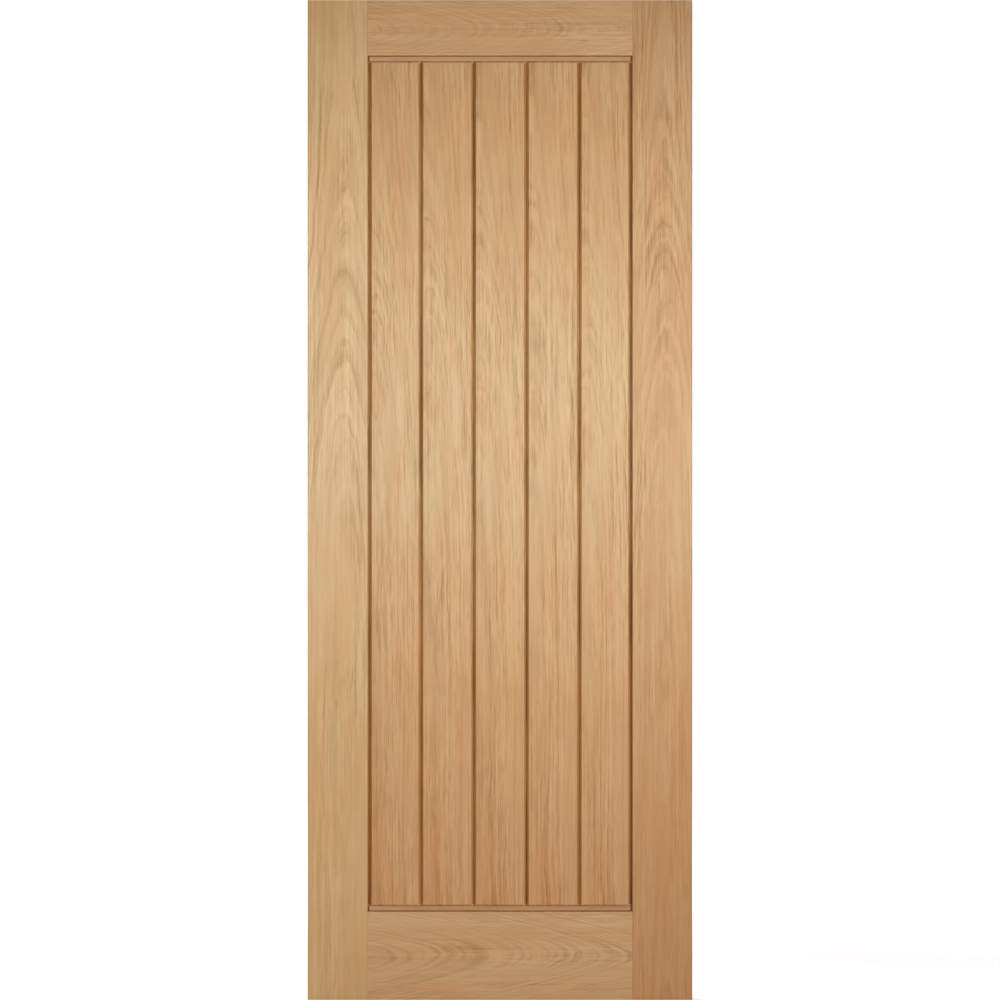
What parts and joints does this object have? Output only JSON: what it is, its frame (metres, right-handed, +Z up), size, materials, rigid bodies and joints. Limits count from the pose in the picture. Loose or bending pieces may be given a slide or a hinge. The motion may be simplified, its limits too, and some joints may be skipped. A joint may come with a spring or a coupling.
{
  "type": "boarded oak door leaf",
  "caption": "Rectangular oak door leaf: stiles and rails framing vertical V-jointed boards, with a narrow bead across the board ends at each rail.",
  "frame": {"origin": "middle of the leaf's bottom edge", "axes": "+X along the width, to the right seen from the front; +Y through the thickness, towards the back; +Z up the leaf"},
  "size_m": [0.762, 0.035, 1.981],
  "materials": {
    "frame_oak": "bare sanded oak, satin",
    "board_oak": "bare sanded oak, satin",
    "bead_oak": "bare sanded oak, satin",
    "dowel_beech": "bare turned beech, matt"
  },
  "bodies": {
    "root": {"left_stile": "frame_oak", "right_stile": "frame_oak", "top_rail": "frame_oak", "bottom_rail": "frame_oak", "board_1": "board_oak", "board_2": "board_oak", "board_3": "board_oak", "board_4": "board_oak", "board_5": "board_oak", "top_bead_front": "bead_oak", "top_bead_back": "bead_oak", "bottom_bead_front": "bead_oak", "bottom_bead_back": "bead_oak", "top_left_dowels": "dowel_beech", "top_right_dowels": "dowel_beech", "bottom_left_dowels": "dowel_beech", "bottom_right_dowels": "dowel_beech"}
  },
  "joints": []
}
